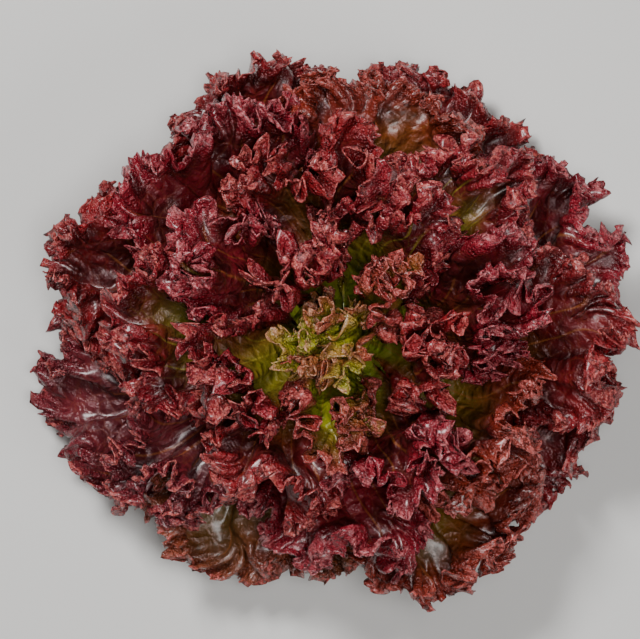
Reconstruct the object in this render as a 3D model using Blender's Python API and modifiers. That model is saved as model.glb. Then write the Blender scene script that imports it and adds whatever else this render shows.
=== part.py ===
"""Head of lollo rosso lettuce, standing on its cut stem with the heart up.

The leaves grow from the stem in a spiral, a golden angle apart. They lie in nested shells: shell 0 is the
lowest and widest, and the last one is the axis of the head. A leaf's folds swing through the shells next to
its own, furthest in its middle and less towards its sides, where it meets the leaves three and five places
before and after it. So the leaves fill the head and no two ever cross. Each leaf is a fan of rays that start
along its root and end along its frilled, toothed margin.
"""

import math
import random

import bmesh
import bpy
import numpy as np

# The dome that the leaf tips lie on, in metres: the long and short way across its rim, which the tips fall
# a little short of, and the heights of its rim and top
RIM_LENGTH = 0.2622
RIM_WIDTH = 0.2455
RIM_RADIUS = (RIM_LENGTH + RIM_WIDTH) / 4
RIM_HEIGHT = 0.017
TOP_HEIGHT = 0.1172
RIM_SPREAD = 1.15

# The stem: a cut end, a straight side and a domed top that the leaves grow from
STEM_RADIUS = 0.017
STEM_CUT_RADIUS = 0.0155
STEM_CUT_EDGE = 0.0015
STEM_CHAMFER = 0.0009
STEM_SHOULDER = 0.005
STEM_DOME_HEIGHT = 0.036
STEM_SEGMENTS = 24
STEM_DOME_POINTS = 8
STEM_TOP = STEM_SHOULDER + STEM_DOME_HEIGHT
STEM_CLEAR = 0.022
ROOT_GAP = 0.0005

# How a grown head strays from an even spiral: a long and a short sway along each axis, which fade out towards
# the stem and, for heights, towards the floor
SWAY = 0.0050
SWAY_LENGTHS = (0.140, 0.085)
SWAY_PHASES = ((-0.2, 0.3), (0.6, 2.2), (4.0, 0.5))
SWAY_REACH = 0.065
SWAY_HEIGHTS = (0.006, 0.050)

# Where the shells leave the stem and the direction that they end in, in degrees
ROOT_ANGLES = (2.0, 86.0)
TIP_ANGLES = (-28.0, 92.0)
ROOT_PULL = 0.90
TIP_PULL = 0.95

# The leaves that stand free, as (ring, count, waves) from the outside in, the shells kept for the heart, the
# leaves' lengths as shares of their shells', and their place round the stem
RINGS = (("outer_leaf", 10, 6), ("middle_leaf", 9, 6), ("inner_leaf", 8, 4))
FREE_LEAVES = sum(count for ring, count, waves in RINGS)
HEART_SHELLS = 4
SHELLS = FREE_LEAVES + HEART_SHELLS
REACHES = (0.90, 1.0)
GOLDEN_ANGLE = math.radians(137.508)
FIRST_AZIMUTH = math.radians(58.0)
HALF_WIDTH = math.radians(32.0)

# The shells that a fold may swing through each way, in the middle of a leaf, and what it loses per degree aside
FOLD_ROOM = 4.12
ROOM_LOST = 0.0997
ROOM_BLUR = 6.0
ROOM_USED = 0.82
LOWEST_SHELL = -2.3
HEART_EDGE = FREE_LEAVES + 0.4

# The outline of a leaf, as shares of its half width and of its length
FAN_ANGLE = math.radians(114.0)
FAN_CENTRE = 0.56
ROOT_SHARE = 0.80
RAY_WIDTH = 0.62
RAY_RISE = (0.55, 0.26)

# The blade and its midrib
BLADE_THICKNESS = 0.0008
ROOT_THICKNESS = 0.0014
RIB_THICKNESS = 0.0032
RIB_SLIMMING = 0.5
RIB_WIDTH = 0.35
RIB_TAPER = 1.4
RIB_HEEL = 0.12
RIB_AT_HEEL = 0.55

# The frill: where it starts, how sharply it grows, and the depth of the teeth, as shares of a ray
FRILL_START = 0.46
FRILL_EASE = 1.25
TOOTH_DEPTH = 0.045

# The folds: how far they lean over at their necks and the turns that they bend by across and along a leaf, then
# how much the folds of one leaf may bunch, swell and wander
FOLD_TURN = 2.3
FOLD_BEND = (1.3, 0.9)
SWELL_TURNS = 1.5
BUNCHINGS = (0.08, 0.05)
SWELLS = (0.10, 0.30)
WANDERS = (0.15, 0.35)

# The rows of points from a leaf's root to its margin, as shares of a ray, and the columns in them
ROWS = (0.0, 0.15, 0.35, 0.56, 0.78, 1.0)
COLUMNS_PER_WAVE = (1, 1, 2, 4, 8, 8)

# The heart: small leaves fused round a slim bud, as (shell, waves, reach), and the bud's (r, z) rings
HEART_LEAVES = (
    (28.5, 3, 0.88), (28.8, 3, 0.94), (29.1, 3, 0.84), (29.4, 3, 0.92), (29.8, 2, 0.82), (30.2, 2, 0.88),
)
HEART_HALF_WIDTH = math.radians(62.0)
HEART_ROOT = 0.10
HEART_FOLD_ROOM = 0.9
HEART_FOLD_TURN = 1.6
BUD_BOTTOM = 0.0432
BUD_RINGS = ((0.0030, 0.0480), (0.0044, 0.0560), (0.0046, 0.0660), (0.0034, 0.0760), (0.0, 0.0840))
BUD_FOOT = 0.0014
BUD_SEGMENTS = 12

# The finishes, as (name, colour, roughness)
FINISHES = {
    "outer_leaf": ("outer leaf", (0.115, 0.016, 0.021), 0.45),
    "middle_leaf": ("middle leaf", (0.135, 0.014, 0.017), 0.45),
    "inner_leaf": ("inner leaf", (0.150, 0.040, 0.012), 0.45),
    "heart": ("heart", (0.200, 0.230, 0.035), 0.45),
    "stem": ("stem", (0.560, 0.600, 0.370), 0.60),
}

SEED = 40


def clear_scene():
    """Removes what a new scene starts with."""
    for obj in list(bpy.data.objects):
        bpy.data.objects.remove(obj)


def material(name, colour, roughness):
    """A plain leaf or stem finish."""
    made = bpy.data.materials.new(name)
    made.use_nodes = True
    shader = made.node_tree.nodes["Principled BSDF"]
    shader.inputs["Base Color"].default_value = (*colour, 1.0)
    shader.inputs["Roughness"].default_value = roughness
    shader.inputs["Metallic"].default_value = 0.0
    return made


def between(pair, share):
    """The value a share of the way from the first of a pair to the second."""
    return pair[0] + (pair[1] - pair[0]) * share


def eased(x, low, high):
    """A smooth step from 0 at low to 1 at high."""
    share = np.clip((x - low) / (high - low), 0.0, 1.0)
    return share * share * (3.0 - 2.0 * share)


def shell_point(level, t):
    """(r, z) on the shell at this level, 0 the lowest and 1 the axis, a share t of the way from stem to rim."""
    root = np.radians(between(ROOT_ANGLES, level))
    dome_z = STEM_DOME_HEIGHT * np.sin(root)
    leaving = np.arctan2(np.sin(root) * STEM_RADIUS, np.cos(root) * STEM_DOME_HEIGHT)
    r0 = STEM_RADIUS * np.cos(root) + ROOT_GAP * np.cos(leaving)
    z0 = STEM_SHOULDER + dome_z + ROOT_GAP * np.sin(leaving)
    rim = np.radians(90.0) * (1.0 - (1.0 - level) ** RIM_SPREAD)
    r1 = RIM_RADIUS * np.cos(rim)
    z1 = RIM_HEIGHT + (TOP_HEIGHT - RIM_HEIGHT) * np.sin(rim)
    ending = np.radians(between(TIP_ANGLES, np.sin(np.radians(90.0) * level)))
    chord = np.hypot(r1 - r0, z1 - z0)
    at_root, from_root = 2 * t**3 - 3 * t**2 + 1, (t**3 - 2 * t**2 + t) * ROOT_PULL * chord
    at_rim, from_rim = 3 * t**2 - 2 * t**3, (t**3 - t**2) * TIP_PULL * chord
    r = at_root * r0 + from_root * np.cos(leaving) + at_rim * r1 + from_rim * np.cos(ending)
    z = at_root * z0 + from_root * np.sin(leaving) + at_rim * z1 + from_rim * np.sin(ending)
    return r, z


class Leaf:
    """One leaf: its shell, its place in the spiral, its size and the waves of its frill."""

    def __init__(self, shell, azimuth, waves, reach, draw):
        self.shell = shell
        self.azimuth = azimuth
        self.waves = waves
        self.reach = reach
        self.root = 0.0
        self.half_width = HALF_WIDTH
        self.fold_turn = FOLD_TURN
        self.side = draw.choice((-1.0, 1.0))
        self.bunching = tuple(draw.uniform(-most, most) for most in BUNCHINGS)
        self.swell = (draw.uniform(*SWELLS), draw.uniform(0.0, math.tau))
        self.wander = (draw.uniform(*WANDERS), draw.uniform(0.0, math.tau))

    def ray(self, v, m):
        """(share of the half width, share of the length) on ray v, a share m of the way to the margin."""
        x = 2.0 * v - 1.0
        u = x + self.bunching[0] * np.sin(math.pi * x) + self.bunching[1] * np.sin(math.tau * x)
        across_root = ROOT_SHARE * u
        across_middle = RAY_WIDTH * u
        rise = between(RAY_RISE, u * u)
        across_margin = np.sin(FAN_ANGLE * u)
        along_margin = FAN_CENTRE + (1.0 - FAN_CENTRE) * np.cos(FAN_ANGLE * u)
        near, middle, far = (1.0 - m) ** 2, 2.0 * m * (1.0 - m), m * m
        across = near * across_root + middle * across_middle + far * across_margin
        along = middle * rise + far * along_margin
        return across, along

    def room(self, offset):
        """The shells that a fold may swing through, (outwards, inwards), at an angle from the leaf's middle."""
        free = FOLD_ROOM - ROOM_LOST * np.hypot(np.degrees(offset), ROOM_BLUR)
        return np.minimum(free, self.shell - LOWEST_SHELL), np.minimum(free, HEART_EDGE - self.shell)

    def point(self, v, m):
        """The frilled leaf's points: each fold swings through the shells and leans over at its neck."""
        growth = np.clip((m - FRILL_START) / (1.0 - FRILL_START), 0.0, 1.0) ** FRILL_EASE
        bend = self.wander[0] * np.sin(math.tau * (FOLD_BEND[0] * v + FOLD_BEND[1] * m) + self.wander[1])
        turn = math.tau * (self.waves * v + bend)
        lean = self.fold_turn * growth / (4.0 * math.pi * self.waves) * np.sin(2.0 * turn)
        across, along = self.ray(v - lean, m)
        offset = self.half_width * across
        swell = 1.0 - self.swell[0] * (1.0 + np.sin(math.tau * SWELL_TURNS * v + self.swell[1]))
        swing = ROOM_USED * self.side * growth * swell * np.sin(turn)
        outwards, inwards = self.room(offset)
        shell = self.shell + swing * np.where(swing < 0.0, outwards, inwards)
        r, z = shell_point(shell / SHELLS, self.root + (self.reach - self.root) * along)
        azimuth = self.azimuth + offset
        return np.stack([r * np.cos(azimuth), r * np.sin(azimuth), z], axis=-1)

    def thickness(self, v, m):
        """The blade's thickness: a rib down the middle that fades towards the margin, slimmer on inner leaves."""
        heel = between((RIB_AT_HEEL, 1.0), np.clip(m / RIB_HEEL, 0.0, 1.0))
        fade = (1.0 - m) ** RIB_TAPER * (1.0 - RIB_SLIMMING * self.shell / SHELLS) * heel
        rib = np.exp(-(((2.0 * v - 1.0) / RIB_WIDTH) ** 2))
        at_root = ROOT_THICKNESS + (RIB_THICKNESS - ROOT_THICKNESS) * rib
        return BLADE_THICKNESS + (at_root - BLADE_THICKNESS) * fade


class HeartLeaf(Leaf):
    """One small leaf of the heart, which starts inside the bud."""

    def __init__(self, shell, azimuth, waves, reach, draw):
        super().__init__(shell, azimuth, waves, reach, draw)
        self.root = HEART_ROOT
        self.half_width = HEART_HALF_WIDTH
        self.fold_turn = HEART_FOLD_TURN

    def room(self, offset):
        """The shells that a fold may swing through, which is the same all across a heart leaf."""
        return HEART_FOLD_ROOM, HEART_FOLD_ROOM


def stretched(points):
    """The round head drawn out to its true length and width, and left as it is at the stem."""
    radius = np.hypot(points[:, 0], points[:, 1])
    share = np.clip((radius - STEM_CLEAR) / (RIM_RADIUS - STEM_CLEAR), 0.0, 1.0)
    result = points.copy()
    result[:, 0] *= between((1.0, RIM_LENGTH / 2 / RIM_RADIUS), share)
    result[:, 1] *= between((1.0, RIM_WIDTH / 2 / RIM_RADIUS), share)
    return result


def swayed(points):
    """The points of the even head, moved as far as a grown one strays from it."""
    clear = np.hypot(points[:, 0], points[:, 1]) + np.maximum(points[:, 2] - STEM_TOP, 0.0)
    free = SWAY * eased(clear, STEM_CLEAR, SWAY_REACH)
    shift = np.zeros_like(points)
    for axis, phases in enumerate(SWAY_PHASES):
        a, b = points[:, axis - 2], points[:, axis - 1]
        long = np.sin(math.tau * (a + b) / SWAY_LENGTHS[0] + phases[0])
        short = np.sin(math.tau * (a - b) / SWAY_LENGTHS[1] + phases[1])
        shift[:, axis] = free * (long + short / 2)
    shift[:, 2] *= eased(points[:, 2], *SWAY_HEIGHTS)
    return points + shift


def strip(first, columns, next_first, next_columns):
    """Triangles between two rows of points, the second with as many columns as the first or twice as many."""
    faces = []
    double = next_columns == 2 * columns
    for i in range(columns):
        a, b = first + i, first + i + 1
        if double:
            c, d, e = (next_first + 2 * i + n for n in range(3))
            faces += [(a, b, d), (a, d, c), (b, e, d)]
        else:
            c, d = next_first + i, next_first + i + 1
            faces += [(a, b, d), (a, d, c)]
    return faces


def leaf_sheet(name, leaf):
    """The leaf as an open sheet, given its thickness by Solidify."""
    points, thicknesses, starts, faces = [], [], [], []
    for m, per_wave in zip(ROWS, COLUMNS_PER_WAVE):
        columns = per_wave * leaf.waves
        v = np.linspace(0.0, 1.0, columns + 1)
        along = np.full(columns + 1, m)
        if m == 1.0:
            along[1::2] -= TOOTH_DEPTH
        starts.append((len(points), columns))
        points += [tuple(p) for p in swayed(stretched(leaf.point(v, along)))]
        thicknesses += list(leaf.thickness(v, along))
    for (first, columns), (next_first, next_columns) in zip(starts, starts[1:]):
        faces += strip(first, columns, next_first, next_columns)
    mesh = bpy.data.meshes.new(name)
    mesh.from_pydata(points, [], faces)
    obj = bpy.data.objects.new(name, mesh)
    thick = obj.vertex_groups.new(name="thickness")
    for index, thickness in enumerate(thicknesses):
        thick.add([index], thickness / RIB_THICKNESS, "REPLACE")
    solid = obj.modifiers.new("Blade", "SOLIDIFY")
    solid.thickness = RIB_THICKNESS
    solid.offset = 0.0
    solid.vertex_group = thick.name
    solid.thickness_vertex_group = 0.0
    return obj


def turned(name, profile, segments):
    """A profile of (r, z) points, run down its outer side, turned about the head's axis."""
    mesh = bpy.data.meshes.new(name)
    edges = [(i, i + 1) for i in range(len(profile) - 1)]
    mesh.from_pydata([(r, 0.0, z) for r, z in profile], edges, [])
    obj = bpy.data.objects.new(name, mesh)
    screw = obj.modifiers.new("Turn", "SCREW")
    screw.steps = screw.render_steps = segments
    screw.use_merge_vertices = True
    screw.merge_threshold = 1e-5
    return obj


def stem_profile():
    """The stem's outline from the top of its dome to the middle of the cut."""
    dome = []
    for i in range(STEM_DOME_POINTS):
        angle = math.radians(90.0) * (1.0 - i / (STEM_DOME_POINTS - 1))
        dome.append((STEM_RADIUS * math.cos(angle), STEM_SHOULDER + STEM_DOME_HEIGHT * math.sin(angle)))
    dome[0] = (0.0, dome[0][1])
    return dome + [(STEM_CUT_RADIUS + STEM_CHAMFER, STEM_CUT_EDGE), (STEM_CUT_RADIUS, 0.0), (0.0, 0.0)]


def bud_profile():
    """The bud's outline from its tip to the middle of its foot."""
    return list(reversed(BUD_RINGS)) + [(BUD_FOOT, BUD_BOTTOM), (0.0, BUD_BOTTOM)]


def evaluated_copy(obj, name):
    """A new object holding the mesh that the modifiers make of obj, which is removed."""
    graph = bpy.context.evaluated_depsgraph_get()
    mesh = bpy.data.meshes.new_from_object(obj.evaluated_get(graph))
    bpy.data.objects.remove(obj)
    return bpy.data.objects.new(name, mesh)


def fill_hollows(mesh):
    """Deletes all but the largest of the mesh's loose pieces, which are the walls of sealed hollows and scraps."""
    shape = bmesh.new()
    shape.from_mesh(mesh)
    unseen, pieces = set(shape.verts), []
    while unseen:
        piece, edge = set(), [unseen.pop()]
        while edge:
            vertex = edge.pop()
            piece.add(vertex)
            near = {e.other_vert(vertex) for e in vertex.link_edges} & unseen
            unseen -= near
            edge += near
        pieces.append(piece)
    largest = max(pieces, key=len)
    extra = [v for piece in pieces if piece is not largest for v in piece]
    bmesh.ops.delete(shape, geom=extra, context="VERTS")
    shape.to_mesh(mesh)
    shape.free()


def heart(collection, draw):
    """The small leaves of the heart, fused round its bud."""
    bud = turned("bud", bud_profile(), BUD_SEGMENTS)
    joined = bpy.data.collections.new("heart leaves")
    bpy.context.scene.collection.children.link(joined)
    collection.objects.link(bud)
    for n, (shell, waves, reach) in enumerate(HEART_LEAVES):
        azimuth = FIRST_AZIMUTH + (FREE_LEAVES + n) * GOLDEN_ANGLE
        leaf = HeartLeaf(shell, azimuth, waves, reach, draw)
        sheet = leaf_sheet(f"heart leaf {n + 1}", leaf)
        joined.objects.link(sheet)
    bpy.context.view_layer.update()
    for sheet in list(joined.objects):
        joined.objects.link(evaluated_copy(sheet, sheet.name))
    core = evaluated_copy(bud, "heart")
    collection.objects.link(core)
    union = core.modifiers.new("Heart leaves", "BOOLEAN")
    union.operation = "UNION"
    union.solver = "MANIFOLD"
    union.operand_type = "COLLECTION"
    union.collection = joined
    bpy.context.view_layer.update()
    fused = evaluated_copy(core, "heart")
    fill_hollows(fused.data)
    collection.objects.link(fused)
    for sheet in list(joined.objects):
        bpy.data.objects.remove(sheet)
    bpy.data.collections.remove(joined)
    return fused


def leaf_plan(draw):
    """(name, leaf) of each free leaf, from the outermost inwards."""
    plan = []
    for ring, count, waves in RINGS:
        for n in range(count):
            azimuth = FIRST_AZIMUTH + len(plan) * GOLDEN_ANGLE
            leaf = Leaf(len(plan), azimuth, waves, draw.uniform(*REACHES), draw)
            plan.append((f"{ring}_{n + 1}", leaf))
    return plan


def build():
    """Models the head in its own collection."""
    clear_scene()
    draw = random.Random(SEED)
    collection = bpy.data.collections.new("lollo rosso lettuce")
    bpy.context.scene.collection.children.link(collection)
    finishes = {part: material(*finish) for part, finish in FINISHES.items()}
    stem = turned("stem", stem_profile(), STEM_SEGMENTS)
    stem.data.materials.append(finishes["stem"])
    collection.objects.link(stem)
    for name, leaf in leaf_plan(draw):
        sheet = leaf_sheet(name, leaf)
        sheet.data.materials.append(finishes[name.rsplit("_", 1)[0]])
        collection.objects.link(sheet)
    fused = heart(collection, draw)
    fused.data.materials.clear()
    fused.data.materials.append(finishes["heart"])


build()
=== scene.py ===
"""The looks of a head of lollo rosso lettuce, resting on its cut stem and seen from straight above.

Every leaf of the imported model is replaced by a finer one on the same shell, with the same folds, and with
ruffles, a crisp toothed margin, veins and blisters added. The heart and the stem are replaced the same way.
"""

import logging
import math
import random
from dataclasses import dataclass, field, replace
from enum import Enum

import bpy
import numpy as np
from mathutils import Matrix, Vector


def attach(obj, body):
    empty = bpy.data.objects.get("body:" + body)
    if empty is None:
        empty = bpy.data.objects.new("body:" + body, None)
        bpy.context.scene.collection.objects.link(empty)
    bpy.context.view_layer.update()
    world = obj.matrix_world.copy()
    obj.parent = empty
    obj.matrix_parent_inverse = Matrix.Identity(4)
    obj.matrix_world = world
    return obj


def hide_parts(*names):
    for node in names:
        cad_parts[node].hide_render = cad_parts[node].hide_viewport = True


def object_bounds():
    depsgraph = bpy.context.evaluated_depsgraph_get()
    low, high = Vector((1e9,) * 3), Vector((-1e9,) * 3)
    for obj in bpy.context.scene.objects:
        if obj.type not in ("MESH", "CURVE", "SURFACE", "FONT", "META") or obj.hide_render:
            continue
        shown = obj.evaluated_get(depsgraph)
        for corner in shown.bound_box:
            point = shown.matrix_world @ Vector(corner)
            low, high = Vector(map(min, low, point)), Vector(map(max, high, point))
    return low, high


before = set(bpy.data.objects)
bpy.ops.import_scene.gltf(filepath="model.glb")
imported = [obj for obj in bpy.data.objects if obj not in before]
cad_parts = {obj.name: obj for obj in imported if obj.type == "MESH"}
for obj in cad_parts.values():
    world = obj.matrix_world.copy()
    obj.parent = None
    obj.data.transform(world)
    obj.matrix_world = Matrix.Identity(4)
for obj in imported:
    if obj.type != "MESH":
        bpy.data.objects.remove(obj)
CAD_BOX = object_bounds()

log = logging.getLogger("lettuce")
Array = np.ndarray
Socket = bpy.types.NodeSocket
Pair = tuple[float, float]
Triple = tuple[float, float, float]
MM = 0.001


def between(pair: Pair, share: Array) -> Array:
    """The value a share of the way from the first of a pair to the second."""
    return pair[0] + (pair[1] - pair[0]) * share


def eased(x: Array, low: float, high: float) -> Array:
    """A smooth step from 0 at low to 1 at high."""
    share = np.clip((x - low) / (high - low), 0.0, 1.0)
    return share * share * (3.0 - 2.0 * share)


def unit(vectors: Array) -> Array:
    """The vectors at length 1."""
    return vectors / np.maximum(np.linalg.norm(vectors, axis=-1, keepdims=True), 1e-12)


def nearness(distance: Array, reach: float) -> Array:
    """The share from 1 at no distance to 0 at the reach and beyond."""
    return 1.0 - np.clip(distance / reach, 0.0, 1.0)


def round_axis(radius: Array, angle: Array, height: Array) -> Array:
    """The (x, y, z) rows of points round the head's axis."""
    return np.stack([radius * np.cos(angle), radius * np.sin(angle), height], axis=-1)


@dataclass(frozen=True)
class Grain:
    """Smooth noise on a lattice of random values, the same on every run."""

    seed: int
    cells: int = 32

    def at(self, points: Array, size: float) -> Array:
        """The noise at points.

        Args:
            points: an array of (x, y, z) rows, in metres.
            size: the width of one lattice cell, in metres.

        Returns:
            One value for each point, from -1 to 1.
        """
        table = np.random.default_rng(self.seed).uniform(-1.0, 1.0, (self.cells,) * 3)
        place = points / size
        low = np.floor(place)
        share = place - low
        share = share * share * (3.0 - 2.0 * share)
        low = low.astype(int)
        total = np.zeros(len(points))
        for corner in np.ndindex(2, 2, 2):
            index = (low + corner) % self.cells
            weight = np.prod(np.where(corner, share, 1.0 - share), axis=1)
            total += weight * table[index[:, 0], index[:, 1], index[:, 2]]
        return total

    def along(self, arc: Array, size: float) -> Array:
        """The noise along a line, at distances from its start."""
        return self.at(np.stack([arc, 0.37 * arc, np.full_like(arc, size)], axis=-1), size)


@dataclass(frozen=True)
class Head:
    """The sizes of the whole head and the nested shells that its leaves lie in."""

    rim_length: float = 0.2622
    rim_width: float = 0.2455
    rim_height: float = 0.017
    top_height: float = 0.1172
    rim_spread: float = 1.15
    stem_radius: float = 0.017
    stem_shoulder: float = 0.005
    stem_dome: float = 0.036
    stem_clear: float = 0.022
    root_gap: float = 0.0005
    root_angles: Pair = (2.0, 86.0)
    tip_angles: Pair = (-28.0, 92.0)
    root_pull: float = 0.90
    tip_pull: float = 0.95
    shells: int = 31
    free_leaves: int = 27
    lowest_shell: float = -2.3
    heart_edge: float = 27.4
    sway: float = 0.0050
    sway_lengths: Pair = (0.140, 0.085)
    sway_phases: tuple[Pair, ...] = ((-0.2, 0.3), (0.6, 2.2), (4.0, 0.5))
    sway_reach: float = 0.065
    sway_heights: Pair = (0.006, 0.050)

    @property
    def rim_radius(self) -> float:
        """The mean radius of the lowest shell's rim."""
        return (self.rim_length + self.rim_width) / 4

    @property
    def stem_top(self) -> float:
        """The height of the stem's dome."""
        return self.stem_shoulder + self.stem_dome

    def shell_point(self, shell: Array, t: Array) -> tuple[Array, Array]:
        """The (r, z) of a point on a shell.

        Args:
            shell: the shell, 0 the lowest, which may lie between two.
            t: the share of the way from the stem to the rim.

        Returns:
            The distance from the head's axis and the height, in metres.
        """
        level = shell / self.shells
        root = np.radians(between(self.root_angles, level))
        leaving = np.arctan2(np.sin(root) * self.stem_radius, np.cos(root) * self.stem_dome)
        r0 = self.stem_radius * np.cos(root) + self.root_gap * np.cos(leaving)
        z0 = self.stem_shoulder + self.stem_dome * np.sin(root) + self.root_gap * np.sin(leaving)
        rim = np.radians(90.0) * (1.0 - (1.0 - level) ** self.rim_spread)
        r1 = self.rim_radius * np.cos(rim)
        z1 = self.rim_height + (self.top_height - self.rim_height) * np.sin(rim)
        ending = np.radians(between(self.tip_angles, np.sin(np.radians(90.0) * level)))
        chord = np.hypot(r1 - r0, z1 - z0)
        at_root, from_root = 2 * t**3 - 3 * t**2 + 1, (t**3 - 2 * t**2 + t) * self.root_pull * chord
        at_rim, from_rim = 3 * t**2 - 2 * t**3, (t**3 - t**2) * self.tip_pull * chord
        r = at_root * r0 + from_root * np.cos(leaving) + at_rim * r1 + from_rim * np.cos(ending)
        z = at_root * z0 + from_root * np.sin(leaving) + at_rim * z1 + from_rim * np.sin(ending)
        return r, z

    def stretched(self, points: Array) -> Array:
        """The round head drawn out to its true length and width, and left as it is at the stem.

        Args:
            points: (x, y, z) rows on the round head.

        Returns:
            The same rows on the grown head.
        """
        radius = np.hypot(points[:, 0], points[:, 1])
        share = np.clip((radius - self.stem_clear) / (self.rim_radius - self.stem_clear), 0.0, 1.0)
        result = points.copy()
        result[:, 0] *= between((1.0, self.rim_length / 2 / self.rim_radius), share)
        result[:, 1] *= between((1.0, self.rim_width / 2 / self.rim_radius), share)
        return result + self.sway_at(result)

    def sway_at(self, points: Array) -> Array:
        """How far the head strays from an even spiral, which is nothing at the stem.

        Args:
            points: (x, y, z) rows on the head.

        Returns:
            The shift of each row.
        """
        clear = np.hypot(points[:, 0], points[:, 1]) + np.maximum(points[:, 2] - self.stem_top, 0.0)
        free = self.sway * eased(clear, self.stem_clear, self.sway_reach)
        shift = np.zeros_like(points)
        for axis, phases in enumerate(self.sway_phases):
            a, b = points[:, axis - 2], points[:, axis - 1]
            long = np.sin(math.tau * (a + b) / self.sway_lengths[0] + phases[0])
            short = np.sin(math.tau * (a - b) / self.sway_lengths[1] + phases[1])
            shift[:, axis] = free * (long + short / 2)
        shift[:, 2] *= eased(points[:, 2], *self.sway_heights)
        return shift


class Ring(Enum):
    """The groups of leaves, from the outside in.

    Each has its slot, its number of leaves, the waves of their frill, how coarse the mesh is, and how far
    the margins curl outwards, in metres.
    """

    OUTER = ("outer_leaf", 10, 6, 1, 0.0)
    MIDDLE = ("middle_leaf", 9, 6, 1, 0.0025)
    INNER = ("inner_leaf", 8, 4, 2, 0.0045)


@dataclass
class LeafShape:
    """One leaf's fan of rays on its shell, with its main folds."""

    head: Head
    shell: float
    azimuth: float
    waves: int
    reach: float
    side: float
    bunching: Pair
    swell: Pair
    wander: Pair
    root: float = 0.0
    half_width: float = math.radians(32.0)
    fan_angle: float = math.radians(114.0)
    fan_centre: float = 0.56
    root_share: float = 0.80
    ray_width: float = 0.62
    ray_rise: Pair = (0.55, 0.26)
    frill_start: float = 0.46
    frill_ease: float = 1.25
    wander_waves: Pair = (0.9, 1.3)
    swell_waves: float = 3.0
    fold_turn: float = 2.3
    fold_room: float = 4.12
    room_lost: float = 0.0997
    room_blur: float = 6.0
    room_used: float = 0.82
    even_room: float = 0.0

    def ray(self, v: Array, m: Array) -> tuple[Array, Array]:
        """A point of a ray before any fold.

        Args:
            v: the ray, from 0 at one side of the leaf to 1 at the other.
            m: the share of the way out from the root to the margin.

        Returns:
            The shares of the leaf's half width and of its length.
        """
        x = 2.0 * v - 1.0
        u = x + self.bunching[0] * np.sin(math.pi * x) + self.bunching[1] * np.sin(math.tau * x)
        rise = between(self.ray_rise, u * u)
        across_margin = np.sin(self.fan_angle * u)
        along_margin = self.fan_centre + (1.0 - self.fan_centre) * np.cos(self.fan_angle * u)
        near, middle, far = (1.0 - m) ** 2, 2.0 * m * (1.0 - m), m * m
        across = near * self.root_share * u + middle * self.ray_width * u + far * across_margin
        return across, middle * rise + far * along_margin

    def room(self, offset: Array) -> tuple[Array, Array]:
        """The shells that a fold may swing through, outwards and inwards.

        Args:
            offset: the angle from the leaf's middle, in radians.

        Returns:
            The numbers of shells outwards and inwards.
        """
        if self.even_room:
            return self.even_room, self.even_room
        free = self.fold_room - self.room_lost * np.hypot(np.degrees(offset), self.room_blur)
        outwards = np.minimum(free, self.shell - self.head.lowest_shell)
        return outwards, np.minimum(free, self.head.heart_edge - self.shell)

    def folded(self, v: Array, m: Array) -> Array:
        """The points of the leaf with its main folds.

        Args:
            v: the ray.
            m: the share of the way out.

        Returns:
            The points as (x, y, z) rows.
        """
        growth = np.clip((m - self.frill_start) / (1.0 - self.frill_start), 0.0, 1.0) ** self.frill_ease
        waves = self.wander_waves[0] * m + self.wander_waves[1] * v
        stray = self.wander[0] * np.sin(math.tau * waves + self.wander[1])
        turn = math.tau * (self.waves * v + stray)
        lean = self.fold_turn * growth / (4.0 * math.pi * self.waves) * np.sin(2.0 * turn)
        across, along = self.ray(v - lean, m)
        offset = self.half_width * across
        swell = 1.0 - self.swell[0] * (1.0 + np.sin(self.swell_waves * math.pi * v + self.swell[1]))
        swing = self.room_used * self.side * growth * swell * np.sin(turn)
        outwards, inwards = self.room(offset)
        shell = self.shell + swing * np.where(swing < 0.0, outwards, inwards)
        r, z = self.head.shell_point(shell, self.root + (self.reach - self.root) * along)
        return self.head.stretched(round_axis(r, self.azimuth + offset, z))


@dataclass(frozen=True)
class Ruffle:
    """A run of smaller folds along the margin, which die away inwards.

    The last two lengths are in folds, and the others in metres.
    """

    length: float
    height: float
    depth: float
    turn: float
    wander: float
    fading: float = 1.4
    wander_length: float = 1.7
    unevenness: float = 0.55
    uneven_length: float = 2.6

    def shift(self, arc: Array, inwards: Array, grain: Grain) -> tuple[Array, Array]:
        """How far a ruffle moves the blade.

        Args:
            arc: the distance along the margin, in metres.
            inwards: the distance in from the margin, in metres.
            grain: the noise that bunches the folds and makes them uneven.

        Returns:
            The distances along the blade's normal and back along the margin.
        """
        fade = nearness(inwards, self.depth) ** self.fading
        stray = self.wander * grain.along(arc, self.wander_length * self.length)
        phase = math.tau * (arc / self.length + stray)
        uneven = 1.0 + self.unevenness * grain.along(arc, self.uneven_length * self.length)
        height = self.height * uneven * fade * np.sin(phase)
        lean = self.turn * fade * self.length / (4.0 * math.pi) * np.sin(2.0 * phase)
        return height, lean


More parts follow.
